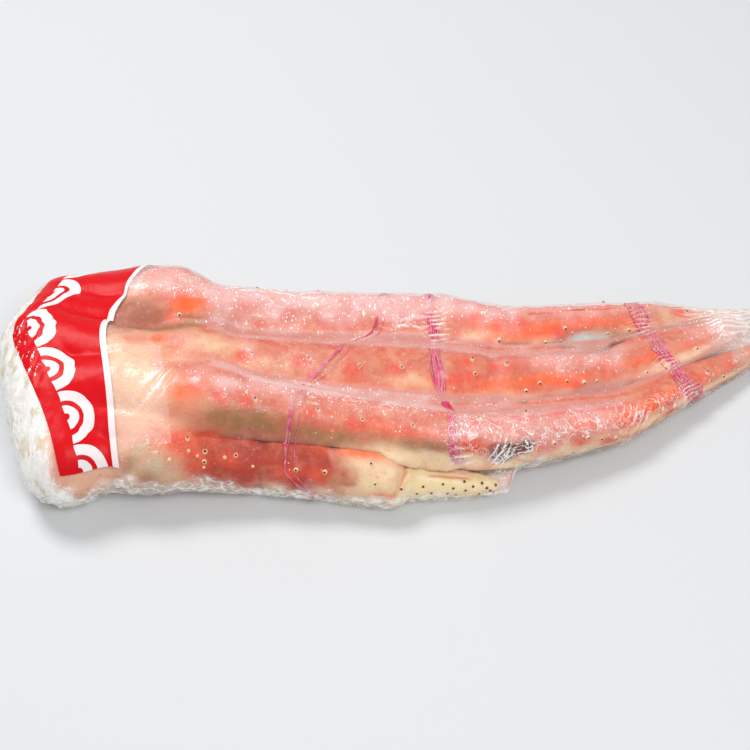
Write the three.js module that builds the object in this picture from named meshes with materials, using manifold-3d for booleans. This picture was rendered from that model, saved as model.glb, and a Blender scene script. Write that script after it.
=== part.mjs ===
// A king crab section, cooked, frozen and shrink wrapped in clear film: three walking legs and
// the claw leg, still joined at the shoulder, lie side by side with their spines up, and a
// printed band crosses the shoulder end of the wrap.
//
// Units are millimetres and degrees. +X runs from the shoulder to the leg tips, +Y to the rear
// leg and +Z up. The pack lies on z = 0.
import * as THREE from 'three';
import { mergeVertices } from 'three/addons/utils/BufferGeometryUtils.js';
import Module from 'manifold-3d';

const wasm = await Module();
wasm.setup();

// ---------------------------------------------------------------------------------------
// Driving dimensions
// ---------------------------------------------------------------------------------------

// Each leg starts at its root and runs outward segment by segment. A segment has its length,
// its heading (from +X towards +Y), its fall (downwards) and the shell radius at its far end,
// and a long one its radius at the waist, half way. hang is how the film drops below the leg:
// 1 follows the round shell, and less reaches further down.
const LEGS = {
  rear: {
    root: [-152, 57, 36],
    rootRadius: 20,
    hang: 0.6,
    segments: {
      merus: { length: 169, heading: -6.5, fall: 4.8, waist: 15.2, radius: 16.5 },
      carpus: { length: 39, heading: -16, fall: 3, radius: 14 },
      propodus: { length: 94, heading: 1.5, fall: 3.7, radius: 9 },
      dactyl: { length: 55, heading: -9, fall: 5.3, radius: 3.5 },
    },
  },
  middle: {
    root: [-133, 12, 38],
    rootRadius: 18,
    hang: 0.6,
    segments: {
      merus: { length: 141, heading: -8.5, fall: 4.5, waist: 15.5, radius: 16 },
      carpus: { length: 31, heading: -11, fall: 5.6, radius: 14 },
      propodus: { length: 73, heading: -0.5, fall: 5.5, radius: 11.5 },
      dactyl: { length: 99, heading: 21, fall: 4.6, radius: 3.5 },
    },
  },
  front: {
    root: [-128, -26, 42],
    rootRadius: 20,
    hang: 0.9,
    segments: {
      merus: { length: 141, heading: -15, fall: 5.3, waist: 17, radius: 16.5 },
      carpus: { length: 44, heading: 1.5, fall: 9.2, radius: 15 },
      propodus: { length: 55, heading: 9, fall: 6.2, radius: 11 },
      propodusEnd: { length: 92, heading: 27, fall: 4.4, radius: 5 },
      dactyl: { length: 45, heading: 25, fall: 1.3, radius: 3 },
    },
  },
  claw: {
    root: [-162, -43, 26],
    rootRadius: 18,
    hang: 0.9,
    segments: {
      merus: { length: 61, heading: -9.5, fall: 5.6, radius: 17 },
      carpus: { length: 39, heading: -14, fall: 3, radius: 17 },
      palm: { length: 33, heading: -17.5, fall: 3.5, radius: 16.5 },
      knuckle: { length: 13, heading: -13, fall: 18, radius: 9 },
      fingers: { length: 53, heading: -7, fall: 4.4, radius: 4 },
    },
  },
};

// The shoulder that the legs grow from, as swellings that run together in chains. Each swelling
// is a centre and a radius, and each chain hangs as a leg does.
const SHOULDER = {
  end: { hang: 0.72, swellings: [[-200, 66, 34, 22], [-213, 33, 38, 26], [-211, -5, 34, 26]] },
  corner: { hang: 0.95, swellings: [[-211, -5, 34, 26], [-208, -40, 25, 25]] },
  clawRoot: { hang: 0.95, swellings: [[-208, -40, 25, 25], [-185, -38, 25, 20], [-162, -43, 26, 18]] },
  cheek: { hang: 0.9, swellings: [[-208, -22, 31, 24], [-150, -34, 31, 19]] },
  rear: { hang: 0.65, swellings: [[-200, 66, 34, 22], [-139, 66, 34, 22]] },
  saddle: { hang: 0.68, swellings: [[-200, 48, 36, 24], [-128, 36, 31, 19]] },
  middle: { hang: 0.72, swellings: [[-213, 33, 38, 26], [-174, 10, 36, 28], [-133, 12, 38, 19]] },
  front: { hang: 0.72, swellings: [[-211, -5, 34, 26], [-174, -8, 36, 28], [-128, -26, 40, 21]] },
};

// Spines that push the film up: how far along the segment each stands, and how far its foot
// leans from the top of the leg towards the front of the pack (degrees, - to the rear).
const SPINES = {
  rear: {
    merus: [[17, 46], [42, 59], [62, -55], [98, -50], [125, -15]],
    carpus: [[28, 10], [36, 63]],
    propodus: [[34, 53], [62, -40]],
    dactyl: [[17, 8]],
  },
  middle: {
    merus: [[35, 19], [67, 22], [96, 33], [120, 32]],
    carpus: [[19, -3], [21, 35]],
    propodus: [[8, 4], [52, 61]],
  },
  front: {
    merus: [[12, 20], [28, 20], [63, 21], [88, 28], [116, 26]],
    carpus: [[10, -3], [8, 34], [39, -22]],
    propodus: [[8, 63], [29, 65], [47, 87]],
    propodusEnd: [[8, 35], [34, 77], [65, 3], [88, 5]],
  },
  claw: {
    merus: [[21, 14], [31, 31], [31, 50], [48, 34]],
    carpus: [[22, 51], [38, 50]],
    fingers: [[21, 31]],
  },
};
const SPINE_RADIUS = 3.2;
const SPINE_HEIGHT = 2.6;
const SPINE_SIDES = 7;
const SPINE_SINK = 2.4;

// The film: how far it stands off the shell, how widely it bridges a groove, and how it hangs
// below the valleys between the legs.
const FILM_ALLOWANCE = 0.6;
const FILM_BRIDGE = 14;
const FILM_HANG = 0.7;
// Ice and film fill the valley between two neighbouring legs, over this stretch of x, up to this
// share of their height and of the gap between them.
const VALLEYS = [
  { legs: ['rear', 'middle'], from: -130, to: 190, steps: 8 },
  { legs: ['middle', 'front'], from: -120, to: 190, steps: 8 },
  { legs: ['front', 'claw'], from: -120, to: 10, steps: 4 },
];
const VALLEY_HEIGHT = 0.62;
const VALLEY_WIDTH = 0.6;
// The gathered tail of the film, from between the last leg segments to just past their tips.
const TAIL = [[186, 10, 12, 10], [237, 11, 8, 2.5]];

// The line inside the pack that the wrap is shrunk towards, from the shoulder to the tail, and
// the wrap's mesh: divisions around and along it, rings on each end, and how flat its rays lie.
const CORE_LINE = [[-200, 10, 26], [-120, 4, 24], [-20, -18, 18], [70, -14, 13], [214, 9, 8]];
const WRAP_AROUND = 44;
const WRAP_ALONG = 58;
const WRAP_END_RINGS = 10;
const WRAP_FLATNESS = 0.42;

// The printed band: its outline seen from above, its lower edge above the table, and the
// thickness and stand-off of its skin.
const BAND_OUTLINE = [
  [-196, 112], [-208, 76], [-224, 46], [-232, 30], [-223, -4], [-213, -46], [-210, -80],
  [-179, -80], [-179, 15], [-174, 42], [-162, 60], [-149, 80], [-130, 112],
];
const BAND_LOWER_EDGE = 35;
const BAND_TOP = 90;
const BAND_STAND_OFF = 0.4;
const BAND_THICKNESS = 0.8;

// How closely a ray finds the film, and how near the table a point is laid flat on it.
const RAY_STEPS = 400;
const RAY_CLOSENESS = 0.01;
const RAY_STRIDE = 0.9;
const TABLE_CLOSENESS = 0.05;
const MERGE_CLOSENESS = 1e-4;

// ---------------------------------------------------------------------------------------
// The shell under the film, as distances
// ---------------------------------------------------------------------------------------

// A leg's joints, from its root to its tip, each with its place, its radius and the segment
// that starts there.
function legJoints(leg) {
  const place = new THREE.Vector3(...leg.root);
  const joints = [];
  let radius = leg.rootRadius;
  for (const [name, segment] of Object.entries(leg.segments)) {
    joints.push({ name, place: place.clone(), radius });
    const heading = THREE.MathUtils.degToRad(segment.heading);
    const fall = THREE.MathUtils.degToRad(segment.fall);
    const course = new THREE.Vector3(
      Math.cos(heading) * Math.cos(fall),
      Math.sin(heading) * Math.cos(fall),
      -Math.sin(fall),
    );
    if (segment.waist) {
      const waist = place.clone().addScaledVector(course, segment.length / 2);
      joints.push({ name: `${name}Waist`, place: waist, radius: segment.waist });
    }
    place.addScaledVector(course, segment.length);
    radius = segment.radius;
  }
  joints.push({ name: 'tip', place: place.clone(), radius });
  return joints;
}

const joints = Object.fromEntries(Object.entries(LEGS).map(([name, leg]) => [name, legJoints(leg)]));

// A tapered tube between two joints. Below its axis the section is drawn out downwards, as the
// film hangs from the widest part of a leg to the table.
function tube(from, to, hang) {
  const along = to.place.clone().sub(from.place);
  return { from: from.place, along, radius: from.radius, end: to.radius, hang };
}

function tubesOf(chain, hang) {
  return chain.slice(1).map((joint, index) => tube(chain[index], joint, hang));
}

// The place and radius of a leg where it crosses a given x.
function legAt(chain, x) {
  const last = chain.length - 2;
  let index = 0;
  while (index < last && chain[index + 1].place.x < x) index += 1;
  const [from, to] = [chain[index], chain[index + 1]];
  const share = THREE.MathUtils.clamp((x - from.place.x) / (to.place.x - from.place.x), 0, 1);
  return {
    place: from.place.clone().lerp(to.place, share),
    radius: THREE.MathUtils.lerp(from.radius, to.radius, share),
  };
}

// The filled valley between two neighbouring legs, as a chain of joints half way between them.
function valleyChain({ legs, from, to, steps }) {
  return Array.from({ length: steps + 1 }, (_, step) => {
    const x = THREE.MathUtils.lerp(from, to, step / steps);
    const [a, b] = legs.map((name) => legAt(joints[name], x));
    const place = a.place.clone().lerp(b.place, 0.5);
    place.z *= VALLEY_HEIGHT;
    return { place, radius: a.place.distanceTo(b.place) * 0.5 * VALLEY_WIDTH };
  });
}

function swellingChain(swellings) {
  return swellings.map(([x, y, z, radius]) => ({ place: new THREE.Vector3(x, y, z), radius }));
}

// Each form is a set of tubes that run into one another. The film bridges between the forms.
const forms = [
  Object.values(SHOULDER).flatMap(({ hang, swellings }) => tubesOf(swellingChain(swellings), hang)),
  ...Object.entries(LEGS).map(([name, leg]) => tubesOf(joints[name], leg.hang)),
  ...VALLEYS.map((valley) => tubesOf(valleyChain(valley), FILM_HANG)),
  tubesOf(swellingChain(TAIL), FILM_HANG),
];

function tubeDistance(point, { from, along, radius, end, hang }) {
  const offset = point.clone().sub(from);
  const share = THREE.MathUtils.clamp(offset.dot(along) / along.lengthSq(), 0, 1);
  offset.addScaledVector(along, -share);
  if (offset.z < 0) offset.z *= hang;
  return offset.length() - THREE.MathUtils.lerp(radius, end, share);
}

// Two distances joined with the fillet that a stretched film makes across their groove.
function bridged(a, b) {
  const blend = Math.max(FILM_BRIDGE - Math.abs(a - b), 0) / FILM_BRIDGE;
  return Math.min(a, b) - 0.25 * FILM_BRIDGE * blend * blend;
}

function filmDistance(point) {
  let distance = Infinity;
  for (const form of forms) {
    distance = bridged(distance, Math.min(...form.map((each) => tubeDistance(point, each))));
  }
  return Math.max(distance - FILM_ALLOWANCE, -point.z);
}

// From a point inside the pack, the way along a ray to the film.
function reachFilm(origin, direction) {
  const point = origin.clone();
  let travelled = 0;
  for (let step = 0; step < RAY_STEPS; step += 1) {
    const room = -filmDistance(point);
    if (room < RAY_CLOSENESS) break;
    travelled += room * RAY_STRIDE;
    point.copy(origin).addScaledVector(direction, travelled);
  }
  return travelled;
}

// ---------------------------------------------------------------------------------------
// Solids
// ---------------------------------------------------------------------------------------

function toSolid(geometry) {
  const bare = geometry.clone();
  bare.deleteAttribute('normal');
  bare.deleteAttribute('uv');
  const merged = mergeVertices(bare, MERGE_CLOSENESS);
  return new wasm.Manifold(new wasm.Mesh({
    numProp: 3,
    vertProperties: new Float32Array(merged.attributes.position.array),
    triVerts: new Uint32Array(merged.index.array),
  }));
}

function toGeometry(solid) {
  const { vertProperties, triVerts } = solid.getMesh();
  const geometry = new THREE.BufferGeometry();
  geometry.setAttribute('position', new THREE.BufferAttribute(vertProperties, 3));
  geometry.setIndex(new THREE.BufferAttribute(triVerts, 1));
  geometry.computeVertexNormals();
  return geometry;
}

// A capsule laid along the core line, each point of which is then moved out along its own ray
// to the film, and standOff further.
const coreCurve = new THREE.CatmullRomCurve3(CORE_LINE.map((place) => new THREE.Vector3(...place)));
const wrapRays = new THREE.CapsuleGeometry(1, WRAP_ALONG, WRAP_END_RINGS, WRAP_AROUND, WRAP_ALONG);

function wrapGeometry(standOff) {
  const geometry = wrapRays.clone();
  const position = geometry.attributes.position;
  const point = new THREE.Vector3();
  for (let index = 0; index < position.count; index += 1) {
    point.fromBufferAttribute(position, index);
    const along = THREE.MathUtils.clamp(point.y / WRAP_ALONG + 0.5, 0, 1);
    const origin = coreCurve.getPointAt(along);
    const beyond = point.y - (along - 0.5) * WRAP_ALONG;
    const direction = new THREE.Vector3(beyond, -point.x, point.z * WRAP_FLATNESS).normalize();
    const reach = reachFilm(origin, direction) + standOff;
    point.copy(origin).addScaledVector(direction, reach);
    if (Math.abs(point.z) < TABLE_CLOSENESS) point.z = 0;
    position.setXYZ(index, point.x, point.y, point.z);
  }
  return geometry;
}

// A spine is a low cone with its foot sunk into the film over the leg.
function spineGeometry(segmentTube, along, lean) {
  const axis = segmentTube.along.clone().normalize();
  const foot = segmentTube.from.clone().addScaledVector(axis, along);
  const side = new THREE.Vector3(0, 0, 1).cross(axis).normalize();
  const outward = axis.clone().cross(side).applyAxisAngle(axis, THREE.MathUtils.degToRad(lean));
  const reach = reachFilm(foot, outward);
  const cone = new THREE.ConeGeometry(SPINE_RADIUS, SPINE_HEIGHT + SPINE_SINK, SPINE_SIDES);
  cone.applyQuaternion(new THREE.Quaternion().setFromUnitVectors(new THREE.Vector3(0, 1, 0), outward));
  const middle = foot.addScaledVector(outward, reach + (SPINE_HEIGHT - SPINE_SINK) * 0.5);
  return cone.translate(middle.x, middle.y, middle.z);
}

function filmPack() {
  let pack = toSolid(wrapGeometry(0));
  for (const [legName, segments] of Object.entries(SPINES)) {
    const chain = joints[legName];
    for (const [segmentName, places] of Object.entries(segments)) {
      const start = chain.findIndex((joint) => joint.name === segmentName);
      const segmentTube = tube(chain[start], chain[start + 1], 1);
      for (const [along, lean] of places) {
        pack = pack.add(toSolid(spineGeometry(segmentTube, along, lean)));
      }
    }
  }
  return toGeometry(pack);
}

// The band is the skin between two stand-offs from the film, cut to its outline from above.
function printedBand() {
  const outline = new THREE.Shape(BAND_OUTLINE.map(([x, y]) => new THREE.Vector2(x, y)));
  const height = BAND_TOP - BAND_LOWER_EDGE;
  const cutter = new THREE.ExtrudeGeometry(outline, { depth: height, bevelEnabled: false });
  cutter.translate(0, 0, BAND_LOWER_EDGE);
  const outer = toSolid(wrapGeometry(BAND_STAND_OFF + BAND_THICKNESS));
  const inner = toSolid(wrapGeometry(BAND_STAND_OFF));
  return toGeometry(outer.subtract(inner).intersect(toSolid(cutter)));
}

// ---------------------------------------------------------------------------------------
// The pack
// ---------------------------------------------------------------------------------------

const group = new THREE.Group();

const film = new THREE.Mesh(
  filmPack(),
  new THREE.MeshStandardMaterial({ color: 0xdf9a87, roughness: 0.35, metalness: 0 }),
);
film.name = 'film_pack';
group.add(film);

const band = new THREE.Mesh(
  printedBand(),
  new THREE.MeshStandardMaterial({ color: 0xd8141f, roughness: 0.4, metalness: 0 }),
);
band.name = 'label';
group.add(band);

export default group;
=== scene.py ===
import math

import bpy
import numpy as np
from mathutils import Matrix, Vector
from mathutils.bvhtree import BVHTree


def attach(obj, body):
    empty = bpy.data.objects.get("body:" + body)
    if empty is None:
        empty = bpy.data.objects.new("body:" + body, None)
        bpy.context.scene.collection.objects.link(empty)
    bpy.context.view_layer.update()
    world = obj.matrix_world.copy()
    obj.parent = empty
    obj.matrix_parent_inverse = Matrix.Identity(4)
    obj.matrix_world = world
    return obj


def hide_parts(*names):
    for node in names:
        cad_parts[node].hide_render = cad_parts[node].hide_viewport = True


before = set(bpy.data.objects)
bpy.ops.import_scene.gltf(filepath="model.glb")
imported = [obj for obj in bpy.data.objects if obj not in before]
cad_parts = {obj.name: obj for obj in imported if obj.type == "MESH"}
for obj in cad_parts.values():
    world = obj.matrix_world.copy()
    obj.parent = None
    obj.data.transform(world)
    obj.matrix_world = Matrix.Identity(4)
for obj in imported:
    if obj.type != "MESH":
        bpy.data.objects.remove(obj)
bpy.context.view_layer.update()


# Camera
# It stands in front of the pack, a little to the left of its middle, and looks well down on
# it, from far enough off for the wide end and the tips to look equally near.

MM = 0.001
CAMERA_TARGET = Vector((-28.5, -2, 25)) * MM
CAMERA_AZIMUTH = math.radians(-9)
CAMERA_ELEVATION = math.radians(46)
CAMERA_DISTANCE = 1250 * MM
FIELD_WIDTH = 431.25 * MM
SENSOR_WIDTH = 36
CAMERA_CLIP = (0.05, 20)

camera = bpy.data.objects.new("camera", bpy.data.cameras.new("camera"))
bpy.context.scene.collection.objects.link(camera)
bpy.context.scene.camera = camera
towards_camera = Vector((
    math.sin(CAMERA_AZIMUTH) * math.cos(CAMERA_ELEVATION),
    -math.cos(CAMERA_AZIMUTH) * math.cos(CAMERA_ELEVATION),
    math.sin(CAMERA_ELEVATION),
))
camera.location = CAMERA_TARGET + towards_camera * CAMERA_DISTANCE
camera.rotation_euler = towards_camera.to_track_quat("Z", "Y").to_euler()
camera.data.sensor_width = SENSOR_WIDTH
camera.data.lens = SENSOR_WIDTH * CAMERA_DISTANCE / FIELD_WIDTH
camera.data.clip_start, camera.data.clip_end = CAMERA_CLIP


# Leg shells
# Three walking legs and the claw leg of a cooked king crab, each a hollow shell of limy horn
# in segments, orange-red on top and cream below. The legs are one growth with the shoulder.

# Millimetres and degrees, as for all that follows. A segment has its name, length, heading
# (from +X towards +Y), fall, the shell radius at its far end and, where it narrows, half way.
LEGS = {
    "rear": {
        "root": (-152, 57, 36), "root_radius": 20, "hang": 0.6,
        "segments": [
            ("merus", 169, -6.5, 4.8, 16.5, 15.2),
            ("carpus", 39, -16, 3, 14, None),
            ("propodus", 94, 1.5, 3.7, 9, None),
            ("dactyl", 55, -9, 5.3, 3.5, None),
        ],
    },
    "middle": {
        "root": (-133, 12, 38), "root_radius": 18, "hang": 0.6,
        "segments": [
            ("merus", 141, -8.5, 4.5, 16, 15.5),
            ("carpus", 31, -11, 5.6, 14, None),
            ("propodus", 73, -0.5, 5.5, 11.5, None),
            ("dactyl", 99, 21, 4.6, 3.5, None),
        ],
    },
    "front": {
        "root": (-128, -26, 42), "root_radius": 20, "hang": 0.9,
        "segments": [
            ("merus", 141, -15, 5.3, 16.5, 17),
            ("carpus", 44, 1.5, 9.2, 15, None),
            ("propodus", 55, 9, 6.2, 11, None),
            ("propodus_end", 92, 27, 4.4, 5, None),
            ("dactyl", 45, 25, 1.3, 3, None),
        ],
    },
    "claw": {
        "root": (-162, -43, 26), "root_radius": 18, "hang": 0.9,
        "segments": [
            ("merus", 61, -9.5, 5.6, 17, None),
            ("carpus", 39, -14, 3, 17, None),
            ("palm", 33, -17.5, 3.5, 16.5, None),
            ("knuckle", 13, -13, 18, 9, None),
            ("fingers", 53, -7, 4.4, 4, None),
        ],
    },
}
# The shoulder that they grow from is made of swellings that run together in chains. Each chain
# has its hang, and each swelling its centre and radius.
SHOULDER = {
    "end": (0.72, [(-200, 66, 34, 22), (-213, 33, 38, 26), (-211, -5, 34, 26)]),
    "corner": (0.95, [(-211, -5, 34, 26), (-208, -40, 25, 25)]),
    "claw_root": (0.95, [(-208, -40, 25, 25), (-185, -38, 25, 20), (-162, -43, 26, 18)]),
    "cheek": (0.9, [(-208, -22, 31, 24), (-150, -34, 31, 19)]),
    "rear": (0.65, [(-200, 66, 34, 22), (-139, 66, 34, 22)]),
    "saddle": (0.68, [(-200, 48, 36, 24), (-128, 36, 31, 19)]),
    "middle": (0.72, [(-213, 33, 38, 26), (-174, 10, 36, 28), (-133, 12, 38, 19)]),
    "front": (0.72, [(-211, -5, 34, 26), (-174, -8, 36, 28), (-128, -26, 40, 21)]),
}
# Ice and film fill the valley between two neighbouring legs over this stretch of x, up to a
# share of their height and of the gap between them. The film's tail ends the bundle.
VALLEYS = [
    ("rear", "middle", -130, 190, 8),
    ("middle", "front", -120, 190, 8),
    ("front", "claw", -120, 10, 4),
]
VALLEY_HEIGHT = 0.62
VALLEY_WIDTH = 0.6
FILM_HANG = 0.7
TAIL = [(186, 10, 12, 10), (237, 11, 8, 2.5)]
FILM_BRIDGE = 14
FILM_ALLOWANCE = 0.6
RAY_STEPS = 400
RAY_CLOSENESS = 0.01
RAY_STRIDE = 0.9
# Spines along each segment: how far along it, and the lean from the top towards the front.
SPINES = {
    "rear": {
        "merus": [(17, 46), (42, 59), (62, -55), (98, -50), (125, -15)],
        "carpus": [(28, 10), (36, 63)],
        "propodus": [(34, 53), (62, -40)],
        "dactyl": [(17, 8)],
    },
    "middle": {
        "merus": [(35, 19), (67, 22), (96, 33), (120, 32)],
        "carpus": [(19, -3), (21, 35)],
        "propodus": [(8, 4), (52, 61)],
    },
    "front": {
        "merus": [(12, 20), (28, 20), (63, 21), (88, 28), (116, 26)],
        "carpus": [(10, -3), (8, 34), (39, -22)],
        "propodus": [(8, 63), (29, 65), (47, 87)],
        "propodus_end": [(8, 35), (34, 77), (65, 3), (88, 5)],
    },
    "claw": {
        "merus": [(21, 14), (31, 31), (31, 50), (48, 34)],
        "carpus": [(22, 51), (38, 50)],
    },
}
# Each spine stands on a red spot of this radius, a little nearer the root and lower than it.
SPINE_GLOW = 4.6
GLOW_SHIFT = (3.5, 8)
GLOW_LENGTH = 1.5
GLOW_STRENGTH = 0.95
# Between two segments the soft skin of the joint is drawn in by this share of the radius.
NECKS = {"carpus": 0.09, "propodus": 0.1, "dactyl": 0.1, "palm": 0.08}
NECK_LENGTH = 4
LEG_STEP = 1.2
LEG_SIDES = 90
JOINT_ROUNDING = 5
# A shell lies this far under the film and keeps this gap to its neighbour. Where nothing hinders
# it, it is somewhat wider than high. Its root sinks into the shoulder over a short length.
SHELL_INSET = 1.1
SHELL_GAP = 0.2
SHELL_WIDTH = 1.15
SHELL_WIDENING = 0.75
WIDEST_LEAN = 72
WIDEST_SPREAD = 38
SHELL_SOFTNESS = 0.8
# Round this x the rear and the middle leg stand apart, and the film spans an opening.
OPENING_X = 100
OPENING_LENGTH = 22
OPENING_DEPTH = 0.8
UNDERSIDE_REACH = 0.9
ROOT_SHARE = 0.55
ROOT_LENGTH = 14
ROOT_DRIFT = 2
TABLE_CLEARANCE = 0.5
PALM_ROUNDING = 12
PALM_END = 0.995
KNOBBLE_HEIGHT = 0.3
KNOBBLE_PITCH = 11
GRAIN_HEIGHT = 0.08
GRAIN_PITCH = 3
# Stains on the shells by colour: how far from the root and at what lean from the top towards
# the front the middle is, half the length and half the lean that it covers, and its strength.
STAINS = {
    "rear": {
        "orange": [(21, 30, 10, 17, 1.3), (196, 38, 10, 12, 0.8), (236, 46, 44, 18, 0.9)],
        "tan": [(8, 60, 32, 26, 0.9)],
        "cream": [(198, 62, 12, 14, 1.0), (256, 80, 62, 16, 1.0), (350, 0, 14, 180, 0.7)],
        "rose": [(250, -4, 60, 30, 0.7), (120, -40, 110, 50, 0.6)],
        "olive": [(320, 20, 24, 70, 0.8)],
        "glow": [(214, 30, 8, 30, 0.7), (236, 62, 10, 8, 0.6)],
        "red": [(226, 2, 12, 5, 1.3), (262, -6, 18, 4, 1.3), (150, -6, 10, 4, 0.7)],
    },
    "middle": {
        "cream": [
            (40, 36, 32, 24, 0.45), (122, 58, 17, 16, 0.6), (196, 84, 36, 12, 0.85),
            (284, 66, 50, 18, 0.7),
        ],
        "glow": [(152, 48, 14, 14, 1.0)],
        "orange": [(200, 50, 46, 16, 0.9), (268, 24, 40, 26, 0.6)],
        "rose": [(215, -10, 34, 30, 0.6), (80, 90, 90, 20, 0.6)],
    },
    "front": {
        # On the front leg the tan of the lower flank is partly stain and partly painted shade, and
        # the first brown streak, along its crease above the claw, is painted shade.
        "tan": [(24, 62, 34, 28, 1.0), (66, 70, 34, 17, 1.0), (128, 62, 26, 14, 0.8)],
        "brown": [(36, 82, 34, 12, 0.9), (166, 70, 9, 10, 2.4)],
        "cream": [
            (112, 90, 50, 22, 1.4), (200, 96, 44, 30, 0.9), (280, 78, 84, 22, 1.0),
            (360, 40, 34, 90, 0.7),
        ],
        "glow": [(50, 24, 30, 10, 0.6), (210, -20, 28, 9, 1.8), (147, 60, 8, 10, 1.6)],
        "orange": [(110, 40, 50, 14, 0.5), (258, 30, 52, 34, 0.85)],
        "rose": [(168, 30, 36, 40, 0.7)],
        "red": [(160, 62, 7, 8, 2.0)],
    },
    "claw": {
        "red": [(44, 34, 22, 64, 1.8), (84, 40, 22, 64, 1.3), (112, 66, 5, 8, 0.7)],
        "brown": [(62, 40, 3, 80, 1.3)],
        "cream": [(128, 50, 26, 100, 1.0), (70, 92, 60, 16, 0.6)],
        "orange": [(120, 2, 22, 14, 1.0), (134, 84, 8, 9, 0.8)],
    },
}
# Stains round the roots, on the shoulder and the shells alike, by colour as seen from above:
# x and y of the middle, half the length and half the width that it covers, and its strength.
ROOT_STAINS = {
    "flesh": [(-192, -10, 48, 90, 1.6)],
    "cream": [(-165, -14, 22, 28, 0.7), (-116, 8, 18, 10, 0.6), (-174, -66, 10, 6, 1.0)],
    "brown": [(-161, 39, 22, 15, 1.1), (-172, -57, 7, 3, 0.8), (-164, -64, 8, 3, 0.9)],
    # The second tan stain, on the front leg's root flank, is partly stain and partly painted shade.
    "tan": [(-144, 29, 26, 10, 1.2), (-108, -50, 28, 12, 1.0)],
    "rose": [(-138, 12, 14, 8, 0.4), (-128, -6, 16, 5, 0.5)],
    "orange": [(-150, 14, 5, 4, 1.4), (-138, -30, 12, 11, 0.7), (-146, -53, 18, 6, 0.8)],
    "glow": [(-132, -26, 5, 9, 0.8)],
    "olive": [(-166, -54, 9, 5, 1.0), (-158, -60, 9, 5, 1.0)],
    "pale": [(-140, -34, 26, 10, 0.5)],
}
# A wandering field is a sum of this many waves, each at a rate between these shares of its own.
WAVES = 14
WAVE_RATES = (0.7, 1.4)
STAIN_DRIFT = 0.22
STAIN_DRIFT_PITCH = 24
# A shell turns pale at this lean, give or take the edge and the drift.
BELLY_LEAN = 108
BELLY_EDGE = 18
BELLY_DRIFT = 14
STAIN_SEED = 5
ROOT_STAIN_SEED = 6
SALMON = (0.62, 0.122, 0.07)
ORANGE = (0.66, 0.105, 0.033)
PALE = (0.72, 0.31, 0.18)
FRECKLE = (0.58, 0.08, 0.03)
SHADE = (0.62, 0.26, 0.13)
STAIN_COLOURS = {
    "pale": (0.90, 0.42, 0.24),
    "flesh": (0.80, 0.46, 0.30),
    "belly": (0.90, 0.70, 0.44),
    "cream": (0.87, 0.65, 0.39),
    "rose": (0.80, 0.33, 0.27),
    "tan": (0.34, 0.15, 0.05),
    "brown": (0.38, 0.11, 0.06),
    "red": (0.44, 0.033, 0.01),
    "olive": (0.60, 0.47, 0.30),
    "orange": (0.92, 0.12, 0.015),
    "glow": (0.74, 0.08, 0.03),
}


def ease(values, low, high):
    """0 below low, 1 above high, and smooth between them."""
    share = np.clip((values - low) / (high - low), 0, 1)
    return share * share * (3 - 2 * share)


def hump(values, middle, half):
    """1 at the middle, falling to nearly nothing at twice this half width."""
    return np.exp(-((values - middle) / half) ** 2)


def unit(vectors):
    """The same directions, each with a length of 1."""
    return vectors / np.linalg.norm(vectors, axis=-1, keepdims=True)


def on_line(stops, stations, places):
    """Where a line that passes these places, each at its own station, is at every stop."""
    return np.stack([np.interp(stops, stations, way) for way in np.transpose(places)], -1)


def wander(points, pitch, seed):
    """A smooth field, mostly between -1 and 1, that rises and falls over this many mm."""
    draw = np.random.default_rng(seed)
    headings = unit(draw.normal(size=(WAVES, 3)))
    rates = draw.uniform(*WAVE_RATES, WAVES) * 2 * math.pi / pitch
    phases = draw.uniform(0, 2 * math.pi, WAVES)
    return np.sin(points @ (headings * rates[:, None]).T + phases).sum(axis=-1) / math.sqrt(WAVES)


def leg_joints(name):
    """Each joint's name, place, shell radius and distance from the root, out to the tip."""
    leg = LEGS[name]
    place, radius, run = np.array(leg["root"], float), leg["root_radius"], 0
    joints = []
    for joint, length, heading, fall, end_radius, waist in leg["segments"]:
        joints.append((joint, place, radius, run))
        heading, fall = math.radians(heading), math.radians(fall)
        flat = math.cos(fall)
        course = np.array([math.cos(heading) * flat, math.sin(heading) * flat, -math.sin(fall)])
        if waist:
            joints.append(("waist", place + course * length / 2, waist, run + length / 2))
        place = place + course * length
        radius = end_radius
        run += length
    joints.append(("tip", place, radius, run))
    return joints


def joint_runs(name):
    """Each joint of a leg, and its distance from the root."""
    return {joint: run for joint, _, _, run in leg_joints(name)}


def leg_line(name, runs):
    """At these distances from the root: the centre, which way is front and up, and the radius."""
    _, places, radii, stations = zip(*leg_joints(name))
    ahead, here, behind = (
        on_line(runs + shift, stations, places) for shift in (JOINT_ROUNDING, 0, -JOINT_ROUNDING)
    )
    front = unit(np.cross(ahead - behind, [0, 0, 1]))
    up = unit(np.cross(front, ahead - behind))
    return (ahead + here + behind) / 3, front, up, np.interp(runs, stations, radii)


def tubes_through(joints, hang):
    """Tapered tubes through centres and radii: each one's start, course, radii and hang."""
    return [
        (start, end - start, radius, end_radius - radius, hang)
        for (start, radius), (end, end_radius) in zip(joints, joints[1:])
    ]


def chain_of(swellings, hang):
    """Tubes through swellings that are given as x, y, z and radius."""
    return tubes_through([(np.array(place, float), radius) for *place, radius in swellings], hang)


def outside_of(points, tubes):
    """How far outside the nearest tube each point is. Below a tube's axis its section is drawn
    out downwards, by as much as its hang is short of 1."""
    nearest = np.full(len(points), np.inf)
    for start, course, radius, growth, hang in tubes:
        offset = points - start
        share = np.clip(offset @ course / (course @ course), 0, 1)
        offset -= share[:, None] * course
        offset[:, 2] *= np.where(offset[:, 2] < 0, hang, 1)
        nearest = np.minimum(nearest, np.linalg.norm(offset, axis=1) - radius - growth * share)
    return nearest


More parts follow.
